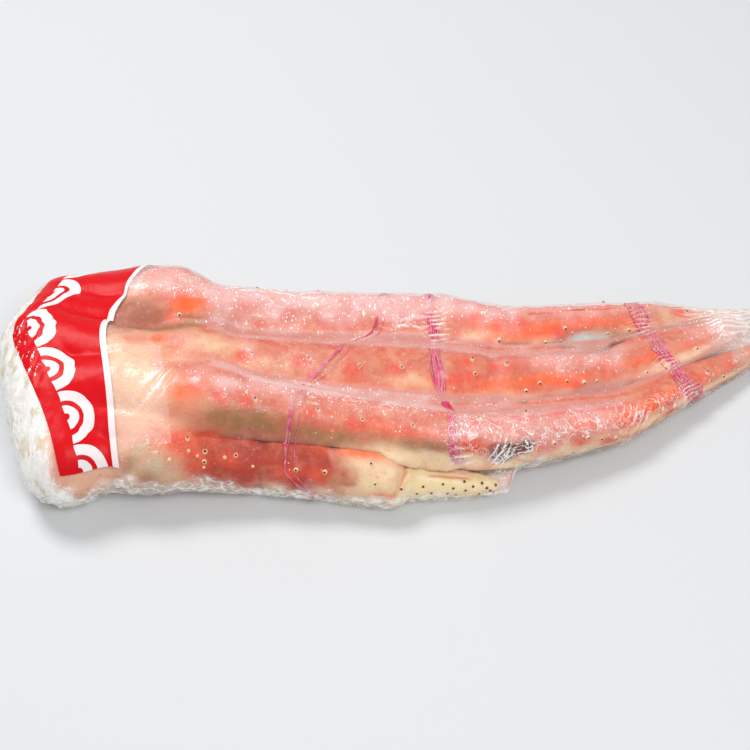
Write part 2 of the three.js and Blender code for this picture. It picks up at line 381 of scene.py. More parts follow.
def shot_onto(outside, origins, directions):
    """Where each ray from inside a form first meets its surface."""
    shape = directions.shape
    origins = np.broadcast_to(origins, shape).reshape(-1, 3)
    directions = directions.reshape(-1, 3)
    travelled = np.zeros(len(origins))
    moving = np.arange(len(origins))
    for _ in range(RAY_STEPS):
        room = -outside(origins[moving] + directions[moving] * travelled[moving, None])
        travelled[moving] += room * RAY_STRIDE
        moving = moving[room > RAY_CLOSENESS]
        if not len(moving):
            break
    return (origins + directions * travelled[:, None]).reshape(shape)


def leg_at(name, x):
    """A leg's place and radius where it crosses this x."""
    _, places, radii, _ = zip(*leg_joints(name))
    across = [place[0] for place in places]
    return on_line(x, across, places), np.interp(x, across, radii)


def valley_joints(first, second, low, high, steps):
    """The filled valley between two legs, as centres and radii half way between them."""
    joints = []
    for x in np.linspace(low, high, steps + 1):
        (near, _), (far, _) = leg_at(first, x), leg_at(second, x)
        place = (near + far) / 2 * (1, 1, VALLEY_HEIGHT)
        joints.append((place, np.linalg.norm(near - far) / 2 * VALLEY_WIDTH))
    return joints


shoulder_tubes = [
    tube for hang, swellings in SHOULDER.values() for tube in chain_of(swellings, hang)
]
leg_tubes = [
    tubes_through([(place, radius) for _, place, radius, _ in leg_joints(name)], leg["hang"])
    for name, leg in LEGS.items()
]
valley_tubes = [tubes_through(valley_joints(*valley), FILM_HANG) for valley in VALLEYS]
film_forms = [shoulder_tubes, *leg_tubes, *valley_tubes, chain_of(TAIL, FILM_HANG)]


def outside_film(points):
    """How far outside the taut film each point is. The film bridges the grooves between forms."""
    outside = np.full(len(points), np.inf)
    for tubes in film_forms:
        nearest = outside_of(points, tubes)
        near = np.maximum(FILM_BRIDGE - np.abs(outside - nearest), 0) / FILM_BRIDGE
        outside = np.minimum(outside, nearest) - FILM_BRIDGE / 4 * near ** 2
    return np.maximum(outside - FILM_ALLOWANCE, -points[:, 2])


def room_beside(name, centre, radii, rays):
    """How far each ray from a leg's centre line runs before it comes nearer another leg."""
    room = np.full(rays.shape[:2], np.inf)
    for other in LEGS:
        if other != name:
            there, other_radii = leg_at(other, centre[:, 0])
            apart = (there - centre) * (0, 1, 1)
            half_way = ((apart ** 2).sum(-1) + radii ** 2 - other_radii ** 2) / 2
            towards = np.maximum((rays * apart[:, None]).sum(-1), 1e-6)
            room = np.minimum(room, half_way[:, None] / towards - SHELL_GAP / 2)
    return room


def shell_points(name, runs, leans):
    """The shell's surface at each of these distances from the root and leans from the top, as
    far out as its own width, the film over it and the legs beside it allow."""
    centre, front, up, radii = leg_line(name, runs)
    across, height = np.sin(np.radians(leans)), np.cos(np.radians(leans))
    outward = front[:, None] * across[:, None] + up[:, None] * height[:, None]
    sides = hump(np.abs(leans), WIDEST_LEAN, WIDEST_SPREAD)
    spread = SHELL_WIDTH + SHELL_WIDENING * sides
    drop = 1 + np.maximum(-height, 0) * (UNDERSIDE_REACH / LEGS[name]["hang"] - 1)
    origins = centre[:, None]
    hull = shot_onto(outside_film, origins, outward)
    under_film = np.linalg.norm(hull - origins, axis=-1) - SHELL_INSET
    if name in ("rear", "middle"):
        spread = spread - OPENING_DEPTH * hump(centre[:, :1], OPENING_X, OPENING_LENGTH) * sides
    room = room_beside(name, centre, radii, outward)
    limits = [radii[:, None] * spread * drop, under_film, room]
    reach = -SHELL_SOFTNESS * np.log(sum(np.exp(-limit / SHELL_SOFTNESS) for limit in limits))
    for joint, run in joint_runs(name).items():
        reach *= 1 - (NECKS.get(joint, 0) * hump(runs, run + NECK_LENGTH / 2, NECK_LENGTH))[:, None]
    points = origins + outward * reach[..., None]
    grown = ease(runs[:, None] + ROOT_DRIFT * wander(points, 15, 2), 0, ROOT_LENGTH)
    reach *= ROOT_SHARE + (1 - ROOT_SHARE) * grown
    reach += KNOBBLE_HEIGHT * (wander(points, KNOBBLE_PITCH, 3) - 1)
    reach += GRAIN_HEIGHT * wander(points, GRAIN_PITCH, 4)
    if name == "claw":
        past = np.clip((runs - joint_runs(name)["knuckle"]) / PALM_ROUNDING, 0, PALM_END)
        reach *= np.sqrt(1 - past ** 2)[:, None]
    points = origins + outward * reach[..., None]
    points[..., 2] = np.maximum(points[..., 2], TABLE_CLEARANCE)
    return points, outward


def places_on(name, spines):
    """A leg's spines as distances from the root and leans from the top."""
    return [
        (joint_runs(name)[segment] + along, lean)
        for segment, places in spines[name].items()
        for along, lean in places
    ]


def soft_patch(strength, along, across, drift):
    """A patch with a soft and ragged edge, from the shares of its half length and half width."""
    return strength * hump(np.maximum(np.hypot(along, across) + drift, 0), 0, 1)


def patch_on_leg(runs, leans, drift, patch):
    """A patch on a leg, given as run, lean, half the length, half the lean, and strength."""
    run, lean, half_run, half_lean, strength = patch
    turned = (leans - lean + 180) % 360 - 180
    return soft_patch(strength, (runs - run) / half_run, turned / half_lean, drift)


def root_marks(points):
    """How strongly each stain shows round the legs' roots."""
    marks = {kind: np.zeros(points.shape[:2]) for kind in STAIN_COLOURS}
    drift = STAIN_DRIFT * wander(points, STAIN_DRIFT_PITCH, ROOT_STAIN_SEED)
    for kind, patches in ROOT_STAINS.items():
        for x, y, half_x, half_y, strength in patches:
            along, across = (points[..., 0] - x) / half_x, (points[..., 1] - y) / half_y
            marks[kind] = np.maximum(marks[kind], soft_patch(strength, along, across, drift))
    return marks


def leg_marks(name, runs, leans, points):
    """How strongly each stain and the spines' glow show at these places on a leg."""
    drift = STAIN_DRIFT * wander(points, STAIN_DRIFT_PITCH, STAIN_SEED)
    _, _, radii, stations = zip(*leg_joints(name))
    radii = np.interp(runs, stations, radii)
    marks = root_marks(points)
    for kind, patches in STAINS[name].items():
        for patch in patches:
            marks[kind] = np.maximum(marks[kind], patch_on_leg(runs, leans, drift, patch))
    behind, below = GLOW_SHIFT
    for run, lean in places_on(name, SPINES):
        along = (runs - run + behind) / GLOW_LENGTH
        away = np.hypot(along, np.radians(leans - lean - below) * radii)
        marks["glow"] = np.maximum(marks["glow"], GLOW_STRENGTH * hump(away, 0, SPINE_GLOW))
    return marks


def shell_spots(name, spots):
    """The shell's point and outward direction at each spot, a run and a lean."""
    runs, leans = np.array(spots, float).T
    points, outward = shell_points(name, runs, leans)
    return np.einsum("iij->ij", points), np.einsum("iij->ij", outward)


def shell_marks(name, runs, leans, points):
    """How strongly each stain shows all over a shell, with the pallor of its belly."""
    runs, leans = runs[:, None] + 0 * leans[None], leans[None] + 0 * runs[:, None]
    marks = leg_marks(name, runs, leans, points)
    pallor = np.abs(leans) + BELLY_DRIFT * wander(points, STAIN_DRIFT_PITCH, STAIN_SEED)
    marks["belly"] = ease(pallor, BELLY_LEAN - BELLY_EDGE, BELLY_LEAN + BELLY_EDGE)
    return marks


def mesh_piece(name, points, faces, marks):
    """A smooth piece through points in millimetres, which carries its marks at each of them."""
    mesh = bpy.data.meshes.new(name)
    mesh.from_pydata((points * MM).tolist(), [], faces)
    for mark, values in marks.items():
        attribute = mesh.attributes.new(mark, "FLOAT", "POINT")
        attribute.data.foreach_set("value", values.reshape(-1).astype(np.float32))
    mesh.shade_smooth()
    piece = bpy.data.objects.new(name, mesh)
    bpy.context.scene.collection.objects.link(piece)
    return piece


def skin(name, rings, marks):
    """A closed piece through rings of points, drawn together at its start and its end."""
    rows, columns = rings.shape[:2]
    ends = [rings[0].mean(axis=0)], [rings[-1].mean(axis=0)]
    here = np.arange(rows * columns).reshape(rows, columns)
    beside = np.roll(here, -1, axis=1)
    faces = np.stack([here[:-1], here[1:], beside[1:], beside[:-1]], -1).reshape(-1, 4).tolist()
    first, last = rows * columns, rows * columns + 1
    faces += [(first, a, b) for a, b in zip(here[0].tolist(), beside[0].tolist())]
    faces += [(last, b, a) for a, b in zip(here[-1].tolist(), beside[-1].tolist())]
    marks = {
        mark: np.append(values.reshape(-1), [values[0].mean(), values[-1].mean()])
        for mark, values in marks.items()
    }
    return mesh_piece(name, np.concatenate([rings.reshape(-1, 3), *ends]), faces, marks)


class Tone:
    """A number, colour or vector on its way through a finish, with the sums it is used in."""

    def __init__(self, finish, socket):
        self.finish = finish
        self.socket = socket

    def sum_of(self, operation, first, second):
        return self.finish.node("ShaderNodeMath", {"operation": operation}, {0: first, 1: second})

    def __add__(self, other):
        return self.sum_of("ADD", self, other)

    def __radd__(self, other):
        return self.sum_of("ADD", other, self)

    def __sub__(self, other):
        return self.sum_of("SUBTRACT", self, other)

    def __rsub__(self, other):
        return self.sum_of("SUBTRACT", other, self)

    def __mul__(self, other):
        return self.sum_of("MULTIPLY", self, other)

    def __rmul__(self, other):
        return self.sum_of("MULTIPLY", other, self)

    def __abs__(self):
        return self.sum_of("ABSOLUTE", self, 0)


class Finish:
    """A material in the making. Its one method adds a node and returns that node's output."""

    def __init__(self, name):
        self.material = bpy.data.materials.new(name)
        self.material.use_nodes = True
        self.material.node_tree.nodes.clear()

    def node(self, kind, settings, sockets, output=0):
        made = self.material.node_tree.nodes.new(kind)
        for name, value in settings.items():
            setattr(made, name, value)
        for name, value in sockets.items():
            if isinstance(value, Tone):
                self.material.node_tree.links.new(value.socket, made.inputs[name])
            else:
                made.inputs[name].default_value = value
        return Tone(self, made.outputs[output]) if made.outputs else None


def mark_on(finish, name):
    """A number that the mesh carries at each of its points."""
    return finish.node("ShaderNodeAttribute", {"attribute_name": name}, {}, output=2)


def cloud(finish, pitch, detail=2.0, stretch=(1, 1, 1), turn=0.0):
    """Soft noise around 0.5 with spots of about this many millimetres, fixed to the piece. They
    are drawn out along its axes by the stretch, after a turn about X."""
    where = finish.node("ShaderNodeTexCoord", {}, {}, output=3)
    sockets = {"Vector": where, "Rotation": (turn, 0, 0), "Scale": stretch}
    where = finish.node("ShaderNodeMapping", {"vector_type": "TEXTURE"}, sockets)
    sockets = {"Vector": where, "Scale": 1 / (pitch * MM), "Detail": detail}
    return finish.node("ShaderNodeTexNoise", {}, sockets)


def slope(value, low, high):
    """0 where a value is below low and 1 where it is above high, smooth between them."""
    settings = {"interpolation_type": "SMOOTHSTEP"}
    sockets = {0: value, 1: low, 2: high, 3: 0, 4: 1}
    return value.finish.node("ShaderNodeMapRange", settings, sockets)


def blend(share, first, second):
    """The first colour, turning to the second as the share goes from 0 to 1."""
    first, second = (tone if isinstance(tone, Tone) else (*tone, 1) for tone in (first, second))
    sockets = {0: share, 6: first, 7: second}
    return share.finish.node("ShaderNodeMix", {"data_type": "RGBA"}, sockets, output=2)


def raised(height, depth):
    """The surface's normal, tilted as if the height stood up by this depth in millimetres."""
    return height.finish.node("ShaderNodeBump", {}, {"Height": height, "Distance": depth * MM})


def fit_out(piece, finish, sockets):
    """Closes a finish with its surface shader, and fixes the piece that wears it to the pack."""
    shader = finish.node("ShaderNodeBsdfPrincipled", {}, sockets)
    finish.node("ShaderNodeOutputMaterial", {}, {"Surface": shader})
    piece.data.materials.append(finish.material)
    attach(piece, "root")


def stained(finish):
    """Salmon mottled with orange and paler spots, with the mesh's stains, ragged at their edges."""
    colour = blend(slope(cloud(finish, 26, 3), 0.42, 0.62) * 0.6, SALMON, ORANGE)
    colour = blend(slope(cloud(finish, 12, 4), 0.48, 0.68) * 0.7, colour, PALE)
    colour = blend(slope(cloud(finish, 3, 5), 0.4, 0.66) * 0.25, colour, PALE)
    colour = blend(slope(cloud(finish, 18, 4), 0.46, 0.7) * 0.4, colour, SHADE)
    ragged = cloud(finish, 8, 6) * 1.4 + 0.3
    for kind, stain in STAIN_COLOURS.items():
        share = slope(mark_on(finish, kind) * ragged, 0.0, 1.0)
        colour = blend(share, colour, stain)
    colour = blend(slope(cloud(finish, 7, 5), 0.48, 0.72) * 0.25, colour, PALE)
    freckles = slope(cloud(finish, 1.8, 3), 0.56, 0.74) * 0.35
    return blend(freckles, colour, FRECKLE)


def dress_crab(piece, name, pit_pitch, roughness, pit_depth):
    """Horn or flesh with its stains, finely pitted."""
    finish = Finish(name)
    pits = cloud(finish, pit_pitch, 4)
    fit_out(piece, finish, {
        "Base Color": stained(finish),
        "Roughness": roughness + 0.2 * pits,
        "Specular IOR Level": 0.2,
        "Normal": raised(pits, pit_depth),
    })


shells = []
for leg_name in LEGS:
    leg_end = joint_runs(leg_name)["tip"]
    if leg_name == "claw":
        leg_end = joint_runs(leg_name)["knuckle"] + PALM_ROUNDING
    leg_runs = np.linspace(0, leg_end, int(leg_end / LEG_STEP))
    leg_leans = np.linspace(180, -180, LEG_SIDES, endpoint=False)
    leg_rings, _ = shell_points(leg_name, leg_runs, leg_leans)
    marks = shell_marks(leg_name, leg_runs, leg_leans, leg_rings)
    shells.append(skin(f"{leg_name}_leg", leg_rings, marks))
    dress_crab(shells[-1], "cooked_shell", 1.6, 0.42, 0.15)


# Claw fingers
# The claw ends in two stout fingers of the same horn, yellow-cream, that close on each other
# tip to tip. Each has an orange line along its back and a red-orange seam at its foot.

# Each finger's offset from the middle of the pair, towards the front and up, as shares of the
# pair's radius, and its own radius as a share of it.
FINGERS = {
    "front_finger": {"front": 0.14, "up": -0.16, "size": 1.35},
    "rear_finger": {"front": -0.5, "up": 0.4, "size": 0.85},
}
FINGER_STEP = 0.9
FINGER_SIDES = 40
FINGER_START = 3
FINGER_SWELL = 7
FINGER_GRAIN = 0.2
THINNEST_FINGER = 0.5
# The line's middle and half width, as turns from the top in radians, and the stretch of the
# finger that it runs along; then the seam's place and half width along the finger and round it.
FINGER_LINE = (0.08, 0.16)
FINGER_LINE_ENDS = (0.14, 0.24)
FINGER_SEAM = (0.04, 0.05)
FINGER_SEAM_TURN = (0.4, 0.5)
FINGER_SEAM_STRENGTH = 0.8
FINGER_CREAM = (0.93, 0.74, 0.38)
FINGER_PALE = (0.95, 0.82, 0.54)

claw_runs = joint_runs("claw")
finger_runs = np.arange(claw_runs["knuckle"] + FINGER_START, claw_runs["tip"], FINGER_STEP)


def finger_line(finger, runs):
    """A finger's centre at each distance from the claw's root, its front, up and girth."""
    share = (runs - finger_runs[0]) / (finger_runs[-1] - finger_runs[0])
    centre, front, up, radii = leg_line("claw", runs)
    closing = ((1 - 0.5 * share ** 2) * radii)[:, None]
    centre = centre + (front * finger["front"] + up * finger["up"]) * closing
    swell = 0.55 + 0.45 * ease(runs - finger_runs[0], 0, FINGER_SWELL)
    girth = radii * finger["size"] * swell * np.sqrt(np.maximum(1.02 - share ** 6, 0))
    return centre, front, up, girth


def dress_finger(piece):
    """Yellow-cream horn, mottled, and orange where the line and the seam are marked."""
    finish = Finish("claw_horn")
    colour = blend(slope(cloud(finish, 7, 3), 0.35, 0.7), FINGER_CREAM, FINGER_PALE)
    colour = blend(mark_on(finish, "line") * 0.9, colour, ORANGE)
    pits = cloud(finish, 1.4, 4)
    fit_out(piece, finish, {
        "Base Color": colour,
        "Roughness": 0.4 + 0.2 * pits,
        "Normal": raised(pits, 0.15),
    })


for finger_name, finger in FINGERS.items():
    middle, front, up, girth = finger_line(finger, finger_runs)
    turn = np.linspace(2 * math.pi, 0, FINGER_SIDES, endpoint=False)
    ring = front[:, None] * np.sin(turn)[:, None] + up[:, None] * np.cos(turn)[:, None]
    origins = middle[:, None]
    hull = shot_onto(outside_film, origins, ring)
    reach = np.minimum(np.linalg.norm(hull - origins, axis=-1) - SHELL_INSET, girth[:, None])
    reach = np.maximum(reach + FINGER_GRAIN * wander(origins + ring, 5, 8), THINNEST_FINGER)
    finger_rings = origins + ring * reach[..., None]
    finger_rings[..., 2] = np.maximum(finger_rings[..., 2], TABLE_CLEARANCE)
    along = np.linspace(0, 1, len(finger_runs))[:, None]
    line = hump(turn[None], *FINGER_LINE) * (1 - ease(np.abs(along - 0.5), *FINGER_LINE_ENDS))
    loop = FINGER_SEAM_STRENGTH * hump(along, *FINGER_SEAM) * hump(turn[None], *FINGER_SEAM_TURN)
    shells.append(skin(finger_name, finger_rings, {"line": np.maximum(line, loop)}))
    dress_finger(shells[-1])


# Shoulder
# The joint of the crab's body that the legs were left on when it was split: cream flesh and
# thin pale shell, stained brown and orange round the leg roots, frozen hard.

SHOULDER_HEART = (-178, 10, 30)
SHOULDER_INSET = 1.3
# Towards the legs it sinks below them, over this stretch of x, by this much.
SHOULDER_SINK = (-110, -76)
SHOULDER_DEPTH = 14
SHOULDER_RINGS = 110
SHOULDER_SIDES = 150
SHOULDER_FOLD = 0.4
# What lies outside two legs belongs to the nearer one, and to the other over this much more.
OWN_REACH = 4

tilt = np.radians(np.linspace(0, 180, SHOULDER_RINGS + 2)[1:-1])[:, None]
turn = np.linspace(0, 2 * math.pi, SHOULDER_SIDES, endpoint=False)[None]
shoulder_rays = np.stack([
    -np.cos(tilt) + 0 * turn, -np.sin(tilt) * np.cos(turn), np.sin(tilt) * np.sin(turn),
], -1)
shoulder_rings = shot_onto(
    lambda points: (
        outside_film(points) + SHOULDER_INSET + SHOULDER_DEPTH * ease(points[:, 0], *SHOULDER_SINK)
    ),
    SHOULDER_HEART, shoulder_rays,
)
shoulder_rings -= shoulder_rays * SHOULDER_FOLD * (1 + wander(shoulder_rings, 22, 9))[..., None]


def beside_legs(points):
    """For each leg: how far outside it the points are, how far they are its own, their distance
    from its root and their lean."""
    found = {}
    for name in LEGS:
        line_runs = np.arange(1, joint_runs(name)["tip"])
        centre, front, up, radii = leg_line(name, line_runs)
        x = points[..., 0]
        run = np.interp(x, centre[:, 0], line_runs)
        run += np.minimum(x - centre[0, 0], 0) + np.maximum(x - centre[-1, 0], 0)
        centre, front, up = (on_line(run, line_runs, way) for way in (centre, front, up))
        away = points - centre
        lean = np.degrees(np.arctan2((away * front).sum(-1), (away * up).sum(-1)))
        outside = np.linalg.norm(away, axis=-1) - np.interp(run, line_runs, radii)
        found[name] = outside, run, lean
    nearest = np.min([outside for outside, _, _ in found.values()], axis=0)
    return {
        name: (outside, 1 - ease(outside - nearest, 0, OWN_REACH), run, lean)
        for name, (outside, run, lean) in found.items()
    }


# It shares each leg's stains close to that leg.
shoulder_marks = root_marks(shoulder_rings)
for leg_name, (_, own, run, lean) in beside_legs(shoulder_rings).items():
    for kind, values in leg_marks(leg_name, run, lean, shoulder_rings).items():
        shoulder_marks[kind] = np.maximum(shoulder_marks[kind], own * values)
shells.append(skin("shoulder", shoulder_rings, shoulder_marks))
dress_crab(shells[-1], "shoulder_flesh", 2.5, 0.45, 0.25)


# Spines
# Short horn thorns grown on the shells, cream with a burnt black tip. Finer dark-tipped ones
# stand along the lower edge of the outer segments and all over the claw's fingers.

SPINE_RADIUS = 1.4
SPINE_HEIGHT = 2.5
# Finer spines, placed as the large ones are.
FINE_SPINES = {
    "rear": {
        "propodus": [(12, 74), (20, 70), (30, 76), (38, 66), (49, 72), (60, 74), (72, 66), (82, 60)],
        "dactyl": [(36, 30)],
    },
    "middle": {
        "propodus": [(17, 68), (26, 58), (42, 56), (60, 60)],
        "dactyl": [(14, 62), (30, 66), (53, 55), (70, 40), (80, 60)],
    },
    "front": {
        "carpus": [(30, 60)],
        "propodus": [(21, 104), (47, 53), (38, 80)],
        "propodus_end": [(7, 60), (22, 66), (30, 15), (50, 68), (64, 50), (74, 61), (84, 64)],
        "dactyl": [(3, -17), (12, 30), (22, 50), (30, 10)],
    },
    "claw": {"palm": [(24, 20), (28, 58)]},
}
FINGER_SPINES = [
    (-6, 60), (7, 53), (12, 82), (18, 42), (21, 84), (30, 30), (31, 69), (40, 33), (45, 81),
    (48, 40), (39, 100), (47, 100), (26, 96), (15, 104), (35, 50), (43, 60), (4, 84), (24, 58),
]
FINE_SPINE_RADIUS = 0.9
FINGER_SPINE_RADIUS = 1.1
FINE_SPINE_HEIGHT = 1.2
# Pale blunt knobs on the roots, placed likewise.
KNOBS = {
    "front": {"merus": [(4, 79), (2, 66)]},
    "claw": {"merus": [(22, 32), (31, 61), (58, 53), (27, 40), (42, 39), (12, 50), (8, 70)]},
    "middle": {"merus": [(20, 10)]},
}
SPINE_SIDES = 14
SPINE_SIZES = (0.85, 1.1)
RAY_START = 30
# A spine's outline: shares of its radius and of its height, from its sunken foot to its tip.
SPINE_OUTLINE = [(1.5, -0.6), (1.1, 0.0), (0.72, 0.35), (0.44, 0.7), (0.26, 0.92), (0.1, 1.0)]
SPINE_CREAM = (0.90, 0.62, 0.38)
SPINE_BLACK = (0.012, 0.009, 0.008)


def spine_rings(foot, outward, radius, height):
    """Rings of one spine, from its foot in the shell to its tip."""
    side = unit(np.cross(outward, [1, 0, 0]))
    other = np.cross(side, outward)
    turn = np.linspace(0, 2 * math.pi, SPINE_SIDES, endpoint=False)[:, None]
    ring = side * np.cos(turn) + other * np.sin(turn)
    return np.array([
        foot + outward * height * rise + ring * radius * girth for girth, rise in SPINE_OUTLINE
    ])


def surface_of(pieces):
    """The surface of these pieces, to be met by rays and measured from."""
    corners, faces = [], []
    for piece in pieces:
        start = len(corners)
        faces += [[start + corner for corner in face.vertices] for face in piece.data.polygons]
        corners += [point.co.copy() for point in piece.data.vertices]
    return BVHTree.FromPolygons(corners, faces)


def finger_spots(spots):
    """The point and outward direction on the outermost finger at each spot, a run and a lean."""
    trees = [surface_of([bpy.data.objects[finger_name]]) for finger_name in FINGERS]
    feet, ways = [], []
    for run, lean in spots:
        centre, front, up, _ = (line[0] for line in leg_line("claw", np.array([run])))
        way = front * math.sin(math.radians(lean)) + up * math.cos(math.radians(lean))
        start = Vector(centre + way * RAY_START) * MM
        met = [tree.ray_cast(start, Vector(-way)) for tree in trees]
        met = [(place, normal, far) for place, normal, _, far in met if place]
        if met:
            place, normal, _ = min(met, key=lambda meeting: meeting[2])
            feet.append(np.array(place) / MM)
            ways.append(np.array(normal))
    return feet, ways


def join(name, pieces, dress):
    """Makes several pieces into one object and dresses it."""
    kept = pieces[0]
    with bpy.context.temp_override(active_object=kept, selected_editable_objects=pieces):
        bpy.ops.object.join()
    kept.name = kept.data.name = name
    dress(kept)


def dress_spines(piece):
    """Cream thorns with a black tip, smooth and a little shiny."""
    finish = Finish("spine_horn")
    tip = slope(mark_on(finish, "height") + cloud(finish, 1.5) * 0.1, 0.55, 0.7)
    fit_out(piece, finish, {
        "Base Color": blend(tip, SPINE_CREAM, SPINE_BLACK),
        "Roughness": 0.35,
    })


def thorns_at(spots, radius, height, draw, burnt=1.0):
    """A thorn at each foot, all slightly different in size, and none through the table."""
    thorns = []
    for foot, outward in zip(*spots):
        stretch = draw.uniform(*SPINE_SIZES)
        rings = spine_rings(foot, outward, radius * stretch, height * stretch)
        rings[..., 2] = np.maximum(rings[..., 2], TABLE_CLEARANCE / 2)
        heights = burnt * np.array([[rise] * SPINE_SIDES for _, rise in SPINE_OUTLINE])
        thorns.append(skin("thorn", rings, {"height": heights}))
    return thorns


spine_draw = np.random.default_rng(11)
for leg_name in LEGS:
    coarse, fine = (
        shell_spots(leg_name, places_on(leg_name, spines)) for spines in (SPINES, FINE_SPINES)
    )
    thorns = thorns_at(coarse, SPINE_RADIUS, SPINE_HEIGHT, spine_draw)
    thorns += thorns_at(fine, FINE_SPINE_RADIUS, FINE_SPINE_HEIGHT, spine_draw, burnt=1.5)
    if leg_name in KNOBS:
        knobs = shell_spots(leg_name, places_on(leg_name, KNOBS))
        thorns += thorns_at(knobs, FINE_SPINE_RADIUS, FINE_SPINE_HEIGHT, spine_draw, burnt=0)
    if leg_name == "claw":
        spots = [(claw_runs["fingers"] + along, lean) for along, lean in FINGER_SPINES]
        feet = finger_spots(spots)
        thorns += thorns_at(feet, FINGER_SPINE_RADIUS, FINE_SPINE_HEIGHT, spine_draw, burnt=1.7)
    join(f"{leg_name}_spines", thorns, dress_spines)


# Ties
# Thin pink plastic threads wound round the legs before wrapping, to hold them together. They
# go right round the bundle, just under the film: two as twisted strands, one as crumpled net.

# The line inside the pack that the film is shrunk towards, and how flat the rays from it lie.
CORE_LINE = np.array([
    (-200, 10, 26), (-120, 4, 24), (-20, -18, 18), (70, -14, 13), (214, 9, 8),
], float)
CORE_FLATNESS = 0.42
# Each tie's course as pairs: the angle round the core, from the front upwards, and x there.
# Between its two tucked angles it runs deep inside, behind the claw's fingers.
TIES = {
    "tie_shoulder": {
        "course": [
            (-90, -62), (-40, -72), (-15, -76), (-1, -84), (13, -90), (31, -88), (47, -85),
            (58, -83), (64, -81), (69, -76), (81, -69), (89, -62), (94, -56), (100, -49),
            (123, -42), (133, -34), (138, -20), (180, 0), (225, -22),
        ],
        "tucked": (0, 0),
        "strands": [(0, 0.6), (0.8, 0.45), (5, 0.25)], "wobble": 0.4,
    },
    "tie_middle": {
        "course": [
            (-90, 24), (-40, 22), (10, 10), (26, 6), (41, 4), (58, 5), (65, 6), (79, 5), (97, 5),
            (111, 7), (132, 9), (138, 11), (180, 16), (225, 22),
        ],
        "tucked": (-86, 12),
        "strands": [(-2.6, 0.45), (-1.6, 0.7), (-0.7, 0.8), (0.2, 0.8), (1.1, 0.7), (2.1, 0.5)],
        "wobble": 0.8,
    },
    "tie_outer": {
        "course": [
            (-90, 158), (-40, 158), (10, 154), (33, 150), (44, 147), (55, 145), (70, 142),
            (85, 140), (111, 138), (127, 136), (138, 134), (180, 132), (225, 144),
        ],
        "tucked": (0, 0),
        "strands": [(shift, 0.5) for shift in (-4, -2.8, -1.7, -0.7, 0.3, 1.3, 2.4, 3.6)],
        "wobble": 1.6,
    },
}
# A tie strays by its wobble, finely by a share of it, and is pinched here and there. All this
# is drawn along a circle, so that its ends meet.
WOBBLE_CIRCLE = 60
WOBBLE_PITCH = 34
FINE_WOBBLE = 0.35
FINE_WOBBLE_PITCH = 9
TIE_PINCH = 0.35
TIE_PINCH_PITCH = 16
TIE_STEPS = 260
TIE_SIDES = 8
TIE_FLATNESS = 0.5
TIE_DEPTH = 0.75
TUCKED_DEPTH = 13
TUCKED_EASE = 12
TIE_PINK = (0.70, 0.03, 0.13)
TIE_PALE = (0.88, 0.30, 0.38)


def core_at(x):
    """The core line's point at each x, level with its ends beyond them."""
    return np.stack([x, *(np.interp(x, CORE_LINE[:, 0], CORE_LINE[:, axis]) for axis in (1, 2))], -1)


def core_ray(angle, beyond=0.0):
    """The ray at each angle round the core, leaning along +X or -X at its ends."""
    angle, level = np.radians(angle), np.sqrt(1 - np.square(beyond))
    return unit(np.stack([
        beyond + 0 * angle, -np.cos(angle) * level, np.sin(angle) * level * CORE_FLATNESS,
    ], -1))


def tie_rings(tie, shift, radius, seed):
    """Rings of one strand, all round the bundle and just under the film."""
    angles = np.linspace(-90, 270, TIE_STEPS, endpoint=False)
    (first_angle, first_x), wobble = tie["course"][0], tie["wobble"]
    stations, places = zip(*tie["course"], (first_angle + 360, first_x))
    x = np.interp(angles, stations, places) + shift
    round_trip = np.radians(angles)
    circle = np.stack([np.cos(round_trip), np.sin(round_trip), 0 * angles], -1) * WOBBLE_CIRCLE
    x = x + wobble * wander(circle, WOBBLE_PITCH, seed)
    x = x + FINE_WOBBLE * wobble * wander(circle, FINE_WOBBLE_PITCH, seed + 50)
    rays = core_ray(angles)
    low, high = tie["tucked"]
    tucked = ease(angles, low - TUCKED_EASE, low) * (1 - ease(angles, high, high + TUCKED_EASE))
    depth = TIE_DEPTH + TUCKED_DEPTH * tucked * (high > low)
    line = shot_onto(outside_film, core_at(x), rays) - rays * depth[:, None]
    for _ in range(2):
        line = (np.roll(line, 1, axis=0) + 2 * line + np.roll(line, -1, axis=0)) / 4
    ahead = unit(np.roll(line, -1, axis=0) - np.roll(line, 1, axis=0))
    side = unit(np.cross(ahead, rays))
    out = np.cross(side, ahead)
    turn = np.linspace(0, 2 * math.pi, TIE_SIDES, endpoint=False)[:, None]
    ring = side[:, None] * np.cos(turn) + out[:, None] * np.sin(turn) * TIE_FLATNESS
    pinch = 1 + TIE_PINCH * wander(circle, TIE_PINCH_PITCH, seed + 90)
    rings = line[:, None] + ring * (radius * pinch)[:, None, None]
    rings[..., 2] = np.maximum(rings[..., 2], TABLE_CLEARANCE / 2)
    return rings


def hoop(name, rings):
    """A closed ring-shaped mesh through rings of points, the last joined to the first."""
    rows, columns = rings.shape[:2]
    here = np.arange(rows * columns).reshape(rows, columns)
    beside, ahead = np.roll(here, -1, axis=1), np.roll(here, -1, axis=0)
    corner = np.roll(ahead, -1, axis=1)
    faces = np.stack([here, ahead, corner, beside], -1).reshape(-1, 4).tolist()
    return mesh_piece(name, rings.reshape(-1, 3), faces, {})


def dress_tie(piece):
    """Thin pink plastic, shiny, paler and clearer where it is stretched."""
    finish = Finish("pink_plastic")
    stretched = slope(cloud(finish, 5, 3), 0.42, 0.66)
    fit_out(piece, finish, {
        "Base Color": blend(stretched, TIE_PINK, TIE_PALE),
        "Roughness": 0.3,
        "Alpha": 0.95 - 0.4 * stretched,
    })


for tie_number, (tie_name, tie) in enumerate(TIES.items()):
    strands = [
        hoop("strand", tie_rings(tie, shift, radius, 20 + 7 * tie_number + count))
        for count, (shift, radius) in enumerate(tie["strands"])
    ]
    join(tie_name, strands, dress_tie)
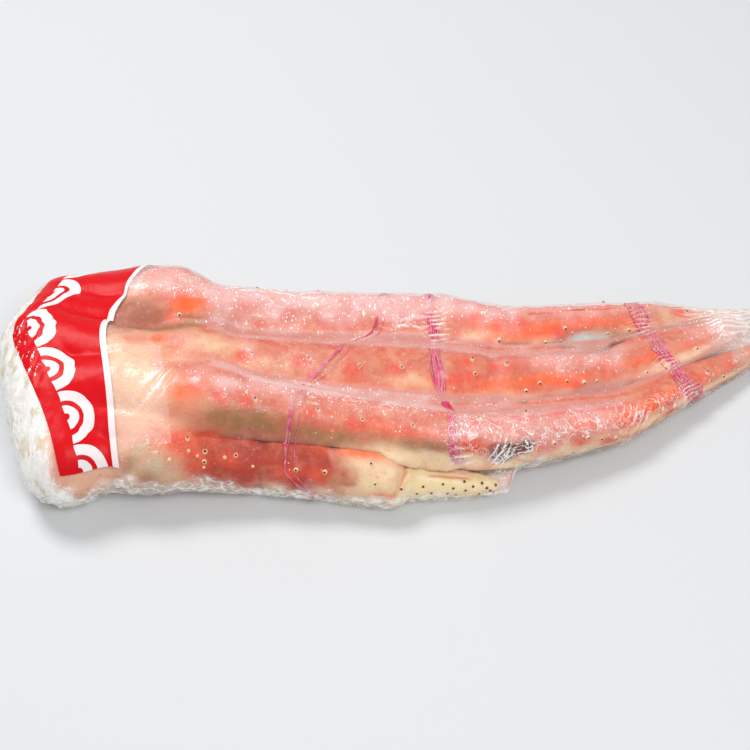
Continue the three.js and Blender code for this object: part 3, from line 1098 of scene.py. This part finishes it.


# Film
# One clear heat-shrunk film round the whole bundle. It lies tight on crests and spines, spans the
# valleys, is gathered in crinkles at both ends and along the table, and holds some frost, painted
# paler as a sheen on the legs' tops.

FILM_ROWS = 372
FILM_START_ROWS = 36
FILM_TAIL_ROWS = 20
FILM_COLUMNS = 226
FILM_RAYS = 420
UNDERSIDE_SHARE = 0.3
ON_TABLE = 0.6
FILM_CLEARANCE = 0.3
DEEPEST_CUT = 4
WIDEST_GAP = 20
MILKY_GAP = (FILM_CLEARANCE + 0.9, 5.0)
TENT_HEIGHT = 1.5
TENT_WIDTH = 2.6
TENT_REACH = 14
# The shoulder end is loose from the first to the second of these distances left of the middle,
# and further in below this height. The tail is loose from the first to the second x.
LOOSE_END = (209, 222)
LOOSE_END_HEIGHT = 34
LOOSE_END_SLANT = 0.8
LOOSE_TAIL = (160, 212)
TAIL_CRINKLE = 0.45
# The frill grows as the film tilts down from the second to the first of these, and as it rises
# off the table from the first to the second height. It is half as strong past this stretch of x.
FRILL_TILT = (-0.3, 0.3)
FRILL_DRIFT = 0.16
FRILL_DRIFT_PITCH = 16
FRILL_HEIGHT = (0.02, 1.2)
FRILL_THINNING = (20, 60)
FRILL_CRINKLE = 0.9
# Folds pressed into the film: the middle, the way they run, half their length, half the width
# that they cover, their pitch and their height.
FOLDS = [
    ((11, 24, 34), (1, 0.05, 0), 9, 13, 3.4, 0.7),
    ((-5, 25, 36), (1, -0.12, 0), 12, 5, 5.0, 0.8),
    ((-70, -43, 55), (1, 0.1, 0), 4, 4, 2.2, 0.5),
    ((-152, -24, 61), (1, 0.9, 0), 12, 6, 6.0, 0.8),
    ((134, 18, 23), (1, 0.25, 0), 9, 10, 2.8, 0.5),
    ((141, -14, 22), (1, 0.5, 0), 8, 9, 2.6, 0.45),
    ((150, -36, 18), (1, 0.8, 0), 8, 7, 2.6, 0.5),
    ((176, 24, 19), (1, -0.2, 0), 22, 8, 3.0, 0.35),
    ((196, 14, 18), (1, -0.1, 0), 18, 12, 3.4, 0.45),
    ((34, -78, 18), (1, 0.9, -0.6), 9, 10, 3.0, 0.5),
    ((30, -76, 31), (0.6, 1, 0.6), 8, 8, 3.2, 0.3),
    ((8, -78, 33), (1, -0.4, 0.2), 8, 7, 4.0, 0.3),
    ((112, -56, 25), (0.4, 1, 0.2), 8, 12, 4.0, 0.45),
    ((-80, 60, 50), (1, -0.1, 0), 30, 8, 4.5, 0.35),
]
FOLD_BEND = 1.2
FOLD_BEND_PITCH = 17
FOLD_REACH = 2.5
# Frost with a painted sheen, contact marks (loops), clear film and one opening, placed on each leg
# as stains are.
FILM_PATCHES = {
    "rear": {
        "frost_and_sheen": [
            (90, 2, 140, 48, 1.4), (0, -50, 50, 50, 0.9), (150, 0, 34, 44, 0.8),
            (330, -10, 40, 60, 0.4), (244, -22, 60, 34, 0.8),
        ],
        # The second loop patch here is a painted highlight arc round the orange spot.
        "loops": [(40, -30, 50, 24, 0.35), (21, 6, 10, 8, 1.0)],
        "clear": [(21, 30, 11, 20, 1.6), (0, 36, 22, 24, 1.5), (250, 76, 66, 20, 1.6)],
        "open": [(252, 72, 14, 8, 1.5)],
    },
    "middle": {
        "frost_and_sheen": [
            (120, -44, 130, 30, 0.6), (220, -2, 30, 30, 0.9), (50, 20, 40, 30, 0.3),
            (320, 10, 40, 60, 0.5),
        ],
        "loops": [(222, 4, 22, 24, 0.5)],
        "clear": [(196, 80, 40, 20, 0.8), (284, 66, 50, 20, 0.7)],
    },
    "front": {
        # On the front leg the last of these patches, on the root's top, is a painted highlight.
        "frost_and_sheen": [
            (72, -40, 84, 52, 1.1), (168, 6, 46, 60, 0.75), (210, 20, 36, 48, 0.9),
            (300, 50, 60, 40, 0.3), (14, 0, 20, 20, 1.2),
        ],
        "loops": [
            (160, 10, 34, 44, 0.6), (200, 34, 34, 36, 0.7), (262, 40, 34, 40, 0.9),
            (96, -10, 40, 20, 0.5), (146, 60, 12, 16, 1.0), (168, 68, 14, 18, 1.0),
        ],
        "clear": [(40, 64, 56, 20, 1.0), (148, 60, 10, 14, 1.4), (164, 66, 12, 16, 1.8)],
    },
    "claw": {
        "loops": [(0, 40, 24, 40, 0.35)],
        "clear": [(160, 40, 70, 80, 0.9), (50, 40, 70, 60, 1.7)],
        "frost_and_sheen": [(140, 90, 60, 20, 0.5)],
    },
}
PATCH_DRIFT = 0.25
# The milky valleys: how far they reach to each side, where they begin, and from which to which
# tilt to the rear the film counts as their far side, with its share of milk and least height.
VALLEY_REACH = 7
VALLEY_START = (-140, -100)
FAR_SIDE_TILT = (0.08, 0.5)
FAR_SIDE_EDGE = 4
FAR_SIDE_MILK = 0.85
FAR_SIDE_HEIGHT = 8
JUICE_AT = (34, -78, 30)
JUICE_SIZE = (11, 9, 6)
JUICE_STRENGTH = 1.5
# The film lies double over this stretch of the shoulder's top: x and y of its low and high
# corners, the least height there, and how far from the edge it is marked.
DOUBLED = ((-182, -54), (-149, 7))
DOUBLED_HEIGHT = 30
DOUBLED_EDGE = 4


def smoothed(rings, passes):
    """Rings of points, each drawn a little towards its neighbours along the pack."""
    for _ in range(passes):
        rings[1:-1] = (rings[:-2] + 2 * rings[1:-1] + rings[2:]) / 4
    return rings


def evened(ring):
    """A ring's points spread evenly along it, and further apart where it lies on the table."""
    closed = np.vstack([ring, ring[:1]])
    steps = np.linalg.norm(np.diff(closed, axis=0), axis=1)
    flat = (closed[1:, 2] < ON_TABLE) & (closed[:-1, 2] < ON_TABLE)
    run = np.concatenate([[0], np.cumsum(steps * np.where(flat, UNDERSIDE_SHARE, 1))])
    stops = np.linspace(0, run[-1], FILM_COLUMNS, endpoint=False)
    return on_line(stops, run, closed)


def outward_of(rings):
    """The outward normal at each point of a skin's rings."""
    around = np.roll(rings, -1, axis=1) - np.roll(rings, 1, axis=1)
    along = np.gradient(rings, axis=0)
    normals = np.cross(along, around)
    return normals / np.maximum(np.linalg.norm(normals, axis=-1), 1e-9)[..., None]


film_x = np.linspace(CORE_LINE[0, 0], CORE_LINE[-1, 0], FILM_ROWS)
start_lean = -np.sin(np.linspace(math.pi / 2, 0, FILM_START_ROWS + 2)[1:-1])
tail_lean = np.sin(np.linspace(0, math.pi / 2, FILM_TAIL_ROWS + 2)[1:-1])
row_x = np.concatenate([
    np.full(len(start_lean), film_x[0]), film_x, np.full(len(tail_lean), film_x[-1]),
])
row_lean = np.concatenate([start_lean, np.zeros(FILM_ROWS), tail_lean])
film_angles = np.linspace(-90, 270, FILM_RAYS, endpoint=False)
film_rays = np.stack([core_ray(film_angles, lean) for lean in row_lean])
film_rings = shot_onto(outside_film, core_at(row_x)[:, None], film_rays)
film_rings = smoothed(np.array([evened(ring) for ring in film_rings]), 2)
film_normals = outward_of(film_rings)
film_marks = {}

# Loose film: the crinkled shoulder end, the gathered tail and a frill along the table.
height = film_rings[..., 2]
x, y = film_rings[..., 0], film_rings[..., 1]
end_share = ease(-x + LOOSE_END_SLANT * np.maximum(LOOSE_END_HEIGHT - height, 0), *LOOSE_END)
tail_share = ease(x, *LOOSE_TAIL)
foot_side = film_normals[..., 2] + FRILL_DRIFT * wander(film_rings, FRILL_DRIFT_PITCH, 39)
frill_share = (1 - ease(foot_side, *FRILL_TILT)) * ease(height, *FRILL_HEIGHT)
frill_share = frill_share * (1 - 0.5 * ease(x, *FRILL_THINNING))
film_marks["crinkle"] = np.maximum.reduce(
    [end_share, TAIL_CRINKLE * tail_share, FRILL_CRINKLE * frill_share]
)
film_marks["end"], film_marks["tail"] = end_share, tail_share
# The creases at the end run with the band's edge, down to the front.
ridged = np.stack([x, 0.86 * y - 0.5 * height, 0.14 * (0.5 * y + 0.86 * height)], -1)
ridges = 0.9 - np.abs(wander(ridged, 9, 31)) + 0.4 - 0.5 * np.abs(wander(ridged, 4.5, 32))
lift = end_share * ridges
lift += tail_share * 0.5 * (1 - np.abs(wander(film_rings * (0.5, 1, 1), 5.5, 33)) * 1.6)
lift += frill_share * (0.7 - np.abs(wander(film_rings * (1, 1, 0.5), 9, 34)) * 0.9)
lift += 0.18 * wander(film_rings, 26, 35) + 0.08 * wander(film_rings, 9, 36)

# Tents over the spines.
for leg_name in LEGS:
    for foot, outward in zip(*shell_spots(leg_name, places_on(leg_name, SPINES))):
        away = film_rings - foot
        above = (away * outward).sum(-1)
        beside = np.sqrt(np.maximum((away ** 2).sum(-1) - above ** 2, 0))
        near = (beside < TENT_REACH) * (np.abs(above) < TENT_REACH)
        lift += TENT_HEIGHT * np.exp(-beside / TENT_WIDTH) * near

# Folds.
film_marks["fold"] = np.zeros(lift.shape)
for place, run, half_length, half_width, pitch, fold_height in FOLDS:
    away = film_rings - np.array(place, float)
    nearest = np.unravel_index((away ** 2).sum(-1).argmin(), lift.shape)
    run = unit(np.array(run, float))
    over = unit(np.cross(film_normals[nearest], run))
    bend = FOLD_BEND * wander(film_rings, FOLD_BEND_PITCH, 37)
    along, across = (away * run).sum(-1), (away * over).sum(-1) + bend
    window = hump(along, 0, half_length) * hump(across, 0, half_width)
    window = window * (np.linalg.norm(away, axis=-1) < FOLD_REACH * max(half_length, half_width))
    crest = np.cos(2 * math.pi * across / pitch)
    lift += fold_height * window * crest
    # Fold crests are marked for white: partly the whitened crease of the film, partly a painted
    # highlight.
    film_marks["fold"] = np.maximum(film_marks["fold"], window * ease(crest, 0.55, 0.95))

# Patches, each on the film that lies nearest to its own leg.
drift = PATCH_DRIFT * wander(film_rings, 16, 38)
over_legs = beside_legs(film_rings)
for leg_name, kinds in FILM_PATCHES.items():
    _, own, run, lean = over_legs[leg_name]
    for kind, patches in kinds.items():
        for patch in patches:
            share = own * patch_on_leg(run, lean, drift, patch)
            film_marks[kind] = np.maximum(film_marks.get(kind, 0), share)
# The valleys between the walking legs are milky across their whole width.
rear, middle, front = (over_legs[leg_name][0] for leg_name in ("rear", "middle", "front"))
valley_share = ease(x, *VALLEY_START) * (1 - film_marks["open"])
film_marks["valley"] = np.maximum(
    hump(rear - middle, 0, VALLEY_REACH) * (middle < front),
    hump(middle - front, 0, VALLEY_REACH) * (middle < rear),
) * valley_share
# So are their far sides, from just behind each ridge.
far_side = ease(film_normals[..., 1], *FAR_SIDE_TILT) * (height > FAR_SIDE_HEIGHT)
far_side = far_side * ease(rear - np.minimum(middle, front), 0, FAR_SIDE_EDGE)
far_side = FAR_SIDE_MILK * far_side * valley_share
film_marks["valley"] = np.maximum(film_marks["valley"], far_side)
film_marks["clear"] = film_marks["clear"] * (1 - far_side)
# Dark juice has run together at the front leg's elbow.
away = np.linalg.norm((film_rings - JUICE_AT) / JUICE_SIZE, axis=-1)
film_marks["juice"] = soft_patch(JUICE_STRENGTH, away, 0, drift)
(low_x, low_y), (high_x, high_y) = DOUBLED
inside = np.minimum.reduce([x - low_x, high_x - x, y - low_y, high_y - y])
inside = np.where(height > DOUBLED_HEIGHT, inside, -DOUBLED_EDGE)
film_marks["doubled"] = np.clip(inside, -DOUBLED_EDGE, DOUBLED_EDGE)

film_rings = film_rings + film_normals * lift[..., None]

# It never cuts into what it holds, and is milky where it stands off it.
shell_tree = surface_of(shells)


def stand_off(points):
    """How far outside the nearest shell each point is."""
    distances = []
    for point in points.reshape(-1, 3) * MM:
        place, normal, _, _ = shell_tree.find_nearest(point)
        away = Vector(point) - place
        distances.append(away.length * math.copysign(1, away.dot(normal)))
    return np.array(distances).reshape(points.shape[:2]) / MM


sunk = np.clip(FILM_CLEARANCE - stand_off(film_rings), 0, DEEPEST_CUT)
film_rings = film_rings + film_normals * sunk[..., None]
film_rings[..., 2] = np.maximum(film_rings[..., 2], 0)
film_marks["gap"] = np.clip(stand_off(film_rings), 0, WIDEST_GAP)

FILM_IOR = 2.0
BUBBLES_PER_METRE = 230
# The frost's pale pink is also a painted sheen where the film lies on the tops.
FROST_AND_SHEEN_PINK = (0.84, 0.55, 0.53)
# The valleys' darker pink is a painted shade.
VALLEY_SHADE_PINK = (0.61, 0.24, 0.185)
# The opening is painted grey as the shade seen through it.
OPENING_SHADE_GREY = (0.52, 0.49, 0.48)
TAIL_GREY = (0.60, 0.52, 0.47)
JUICE = (0.15, 0.02, 0.008)
CREASE_WHITE = (0.98, 0.95, 0.91)
END_OLIVE = (0.66, 0.54, 0.28)


def dress_film(piece):
    """Clear shrink film: milky where frost or a gap lies under it, with fine white creases, painted
    sheen and glints on the tops and painted shade in the valleys.
    """
    finish = Finish("shrink_film")
    crinkle, fold, tail, end, scribble, opening = (
        mark_on(finish, mark) for mark in ("crinkle", "fold", "tail", "end", "loops", "open")
    )
    clear, valley = (slope(mark_on(finish, mark), 0.0, 1.0) for mark in ("clear", "valley"))
    haze = slope(mark_on(finish, "gap"), *MILKY_GAP) * (1 - clear)
    haze = (haze + valley * (1 - haze) * (1 - clear)) * (1 - tail * 0.5)
    mottle = cloud(finish, 7, 5)
    fine = cloud(finish, 0.9, 2) - 0.5
    swirls = cloud(finish, 7, 0.8)
    touching = slope(swirls, 0.53, 0.56) * scribble
    frost_and_sheen = mark_on(finish, "frost_and_sheen") * (1 - clear) * (1 - touching * 0.8)
    loops = 1 - slope(abs(swirls - 0.53), 0.004, 0.02)
    loops = loops + 1 - slope(abs(swirls - 0.42), 0.002, 0.014)
    small_swirls = cloud(finish, 3.4, 0.3)
    loops = (loops + 1 - slope(abs(small_swirls - 0.53), 0.004, 0.026)) * scribble
    where = finish.node("ShaderNodeTexCoord", {}, {}, output=3)
    cells = {"Vector": where, "Scale": BUBBLES_PER_METRE}
    bubble = 1 - slope(finish.node("ShaderNodeTexVoronoi", {}, cells), 0.04, 0.12)
    picked = finish.node("ShaderNodeTexVoronoi", {}, cells, output=1)
    picked = slope(finish.node("ShaderNodeSeparateColor", {}, {0: picked}), 0.66, 0.68)
    bubbles = bubble * picked * slope(cloud(finish, 26, 2), 0.35, 0.6)
    # Tiny white dots, strongest in the frost, are painted glints.
    painted_glints = slope(cloud(finish, 1.2, 1.5, (1, 2, 1)), 0.63, 0.73) * (frost_and_sheen + 0.3)
    creases = cloud(finish, 2.4, 3, (1, 6, 1), math.radians(60)) * end
    creases = creases + cloud(finish, 5, 2, (2, 1, 1)) * (1 - end)
    creased = 1 - slope(abs(creases - 0.5), 0.0, 0.07)
    doubled = slope(mark_on(finish, "doubled"), -0.3, 0.3) * 0.22
    alpha = 0.05 + haze * 0.72 + frost_and_sheen * (0.2 + mottle * 0.66) + loops * 0.6 + bubbles * 0.8
    alpha = alpha + painted_glints * 0.7 + fold * 0.45 + doubled + crinkle * (0.42 + creased * 0.5)
    alpha = alpha + end * 0.4 + fine * (haze + frost_and_sheen) * 0.5 + opening * 0.85
    juice = slope(mark_on(finish, "juice") * (0.4 + cloud(finish, 3, 3)), 0.2, 0.7)
    alpha = alpha + juice * 0.8
    # The milk turns from the paler pink on the tops to the darker one where the film stands off the
    # shells into the valleys: painted sheen on the one, painted shade on the other.
    milk = blend(haze * (1 - frost_and_sheen * 0.8), FROST_AND_SHEEN_PINK, VALLEY_SHADE_PINK)
    milk = blend(tail * 0.9, milk, TAIL_GREY)
    milk = blend(juice, milk, JUICE)
    # In the opening the film is nearly opaque and painted grey for the shade seen through it.
    milk = blend(slope(opening, 0.3, 0.7), milk, OPENING_SHADE_GREY)
    # The white gathers contact loops, bubbles, crinkles and the double film with the painted glints
    # and the fold crests' painted highlights.
    white = slope(loops + bubbles + painted_glints + fold + crinkle + doubled, 0.1, 0.7)
    white = white * (1 - tail * 0.5)
    colour = blend(white, milk, CREASE_WHITE)
    olive = slope(cloud(finish, 6, 5, (1, 4, 1), math.radians(60)), 0.52, 0.66)
    colour = blend(olive * crinkle * 0.7, colour, END_OLIVE)
    texture = cloud(finish, 2.6, 4) * 0.7 + cloud(finish, 9, 2) * 1.6
    texture = texture + creases * (crinkle * 2 + tail * 0.5) + loops * 0.4 + fold * 0.5
    fit_out(piece, finish, {
        "Base Color": colour,
        "Roughness": 0.18 + 0.16 * cloud(finish, 8) + tail * 0.3,
        "IOR": FILM_IOR,
        "Alpha": slope(alpha, -0.12, 1.12),
        "Normal": raised(texture, 0.4),
    })


film = skin("film", film_rings, film_marks)
dress_film(film)
# Clear film hardly dims what lies under it.
film.visible_shadow = False
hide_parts("film_pack")


# Printed band
# A band of red and white ink printed on the film across the shoulder end. It comes to a blunt
# point to the left, and has a white edge on the legs' side.

# Its two edges as pairs: x and the angle round the core, from behind over the top to the front.
BAND_LEFT = [
    (-194, 165), (-200, 150), (-208, 138), (-223, 112), (-232, 106), (-226, 87), (-217, 62),
    (-213, 44), (-211, 20),
]
BAND_RIGHT = [
    (-137, 165), (-143, 150), (-149, 138), (-155, 128), (-165, 122), (-175, 110), (-179, 94),
    (-178, 80), (-178, 64), (-179, 43), (-179, 18),
]
BAND_STEPS = 190
BAND_COLUMNS = 48
BAND_STAND_OFF = 0.2
BAND_RED = (0.68, 0.003, 0.008)
BAND_WHITE = (0.90, 0.80, 0.80)
# The wave crests: how far apart they are along the band and from its left edge, and the middle
# radius and half the width of each one's two arcs.
MOTIF_PITCH = 33
MOTIF_INSET = 11
MOTIF_ARCS = [(4.6, 2.4), (12.9, 3.0)]
WHITE_EDGE = 3.6
CREST_START = (-0.3, 0.3)
INK_EDGE = 0.2
EDGE_SMOOTHING = 90

film_tree = surface_of([film])


def edge_points(edge, steps):
    """Points along one of the band's edges, evenly spread over its pairs and smoothly curved."""
    stops = np.linspace(0, len(edge) - 1, steps)
    return smoothed(on_line(stops, range(len(edge)), edge), EDGE_SMOOTHING)


left_edge, right_edge = edge_points(BAND_LEFT, BAND_STEPS), edge_points(BAND_RIGHT, BAND_STEPS)
band_share = np.linspace(0, 1, BAND_COLUMNS)[None, :, None]
band_spots = left_edge[:, None] * (1 - band_share) + right_edge[:, None] * band_share
band_points = np.zeros((BAND_STEPS, BAND_COLUMNS, 3))
for row in range(BAND_STEPS):
    for column in range(BAND_COLUMNS):
        spot_x, spot_angle = band_spots[row, column]
        origin = Vector(core_at(np.array([spot_x]))[0]) * MM
        ray = Vector(core_ray(np.array([spot_angle]))[0])
        place, normal, _, _ = film_tree.ray_cast(origin, ray)
        band_points[row, column] = np.array(place + normal * BAND_STAND_OFF * MM) / MM
along = np.linalg.norm(np.diff(band_points[:, BAND_COLUMNS // 2], axis=0), axis=1)
along = np.concatenate([[0], np.cumsum(along)])[:, None] + np.zeros((1, BAND_COLUMNS))
across = np.linalg.norm(np.diff(band_points, axis=1), axis=2)
across = np.concatenate([np.zeros((BAND_STEPS, 1)), np.cumsum(across, axis=1)], axis=1)

here = np.arange(BAND_STEPS * BAND_COLUMNS).reshape(BAND_STEPS, BAND_COLUMNS)
band_faces = np.stack([here[:-1, :-1], here[1:, :-1], here[1:, 1:], here[:-1, 1:]], -1)
band = mesh_piece(
    "printed_band", band_points.reshape(-1, 3), band_faces.reshape(-1, 4).tolist(),
    {"along": along, "across": across, "to_edge": across[:, -1:] - across},
)


def dress_band(piece):
    """Red ink with plain white wave crests and a white edge, creased as the film is."""
    finish = Finish("printed_film")
    waver = (cloud(finish, 12, 2) - 0.5) * 3
    along = mark_on(finish, "along") + waver
    across = mark_on(finish, "across") + waver
    cell = finish.node("ShaderNodeMath", {"operation": "WRAP"}, {0: along, 1: MOTIF_PITCH, 2: 0.0})
    cell = cell - MOTIF_PITCH / 2
    beyond = across - MOTIF_INSET
    far = finish.node("ShaderNodeMath", {"operation": "SQRT"}, {0: cell * cell + beyond * beyond})
    edge = mark_on(finish, "to_edge")
    white = 1 - slope(edge, WHITE_EDGE - INK_EDGE, WHITE_EDGE + INK_EDGE)
    for radius, half in MOTIF_ARCS:
        arc = 1 - slope(abs(far - radius), half - INK_EDGE, half + INK_EDGE)
        white = white + arc * slope(beyond, *CREST_START)
    white = slope(white, 0.3, 0.7)
    fit_out(piece, finish, {
        "Base Color": blend(white, BAND_RED, BAND_WHITE),
        "Roughness": 0.35,
        "Specular IOR Level": 0.15,
        "Normal": raised(cloud(finish, 3, 5, (1, 4, 1), math.radians(60)), 0.2),
    })


dress_band(band)
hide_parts("label")


# Floor and light
# A plain pale sweep and soft studio light, highest behind the pack and to its left.

FLOOR_REACH = 3000
FLOOR_DROP = 0.3
FLOOR_PAINT = (0.665, 0.675, 0.685, 1)
LIGHTS = {
    "key": {"place": (-0.5, 0.8, 1.6), "size": 0.7, "watts": 19},
    "fill": {"place": (0.3, -1.0, 1.6), "size": 0.9, "watts": 17},
}
WORLD_LIGHT = 0.41
WORLD_WHITE = (0.96, 0.98, 1.0, 1)

floor_corners = [
    (FLOOR_REACH * way_x, FLOOR_REACH * way_y, -FLOOR_DROP)
    for way_x, way_y in ((-1, -1), (1, -1), (1, 1), (-1, 1))
]
floor = mesh_piece("floor", np.array(floor_corners), [(0, 1, 2, 3)], {})
floor_finish = Finish("floor_paint")
floor_sockets = {"Base Color": FLOOR_PAINT, "Roughness": 0.7}
floor_shader = floor_finish.node("ShaderNodeBsdfPrincipled", {}, floor_sockets)
floor_finish.node("ShaderNodeOutputMaterial", {}, {"Surface": floor_shader})
floor.data.materials.append(floor_finish.material)

for light_name, light in LIGHTS.items():
    lamp = bpy.data.objects.new(light_name, bpy.data.lights.new(light_name, "AREA"))
    lamp.data.shape = "DISK"
    lamp.data.size = light["size"]
    lamp.data.energy = light["watts"]
    lamp.location = light["place"]
    lamp.rotation_euler = Vector(light["place"]).to_track_quat("Z", "Y").to_euler()
    bpy.context.scene.collection.objects.link(lamp)
world = bpy.data.worlds.new("studio")
world.use_nodes = True
background = world.node_tree.nodes["Background"].inputs
background["Color"].default_value = WORLD_WHITE
background["Strength"].default_value = WORLD_LIGHT
bpy.context.scene.world = world
bpy.context.scene.view_settings.view_transform = "Standard"
